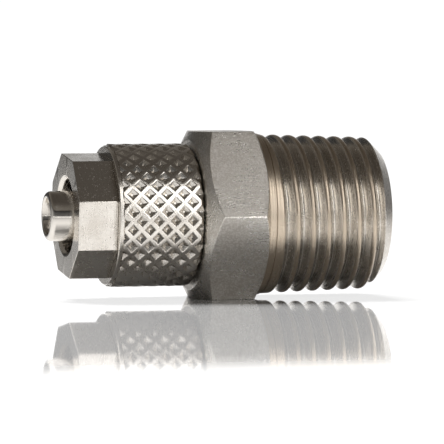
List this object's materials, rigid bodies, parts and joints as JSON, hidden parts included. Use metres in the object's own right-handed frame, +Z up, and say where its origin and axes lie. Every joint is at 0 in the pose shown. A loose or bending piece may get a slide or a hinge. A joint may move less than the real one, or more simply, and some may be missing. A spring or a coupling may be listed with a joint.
{
  "type": "push-on tube fitting",
  "caption": "Straight nickel-plated brass tube fitting: tapered pipe thread, spanner hexagon, and a knurled union nut over a stem for plastic tube.",
  "frame": {"origin": "on the axis of both threads, in the face of the hexagon on the side of the pipe thread", "axes": "+X along the axis towards the end of the pipe thread, +Z up from the hexagon flat that the fitting lies on"},
  "size_m": [0.0285, 0.0162, 0.014],
  "materials": {
    "nickel_plated_brass": "turned brass with bright nickel plating, fine turning marks and small nicks",
    "nickel_plated_nut": "turned and knurled brass with bright nickel plating"
  },
  "bodies": {
    "body": {"body": "nickel_plated_brass"},
    "nut": {"nut": "nickel_plated_nut"}
  },
  "joints": [
    {"name": "nut_unscrew", "type": "slide", "parent": "body", "child": "nut", "axis": [-1, 0, 0], "range_m": [0, 0.016]}
  ]
}
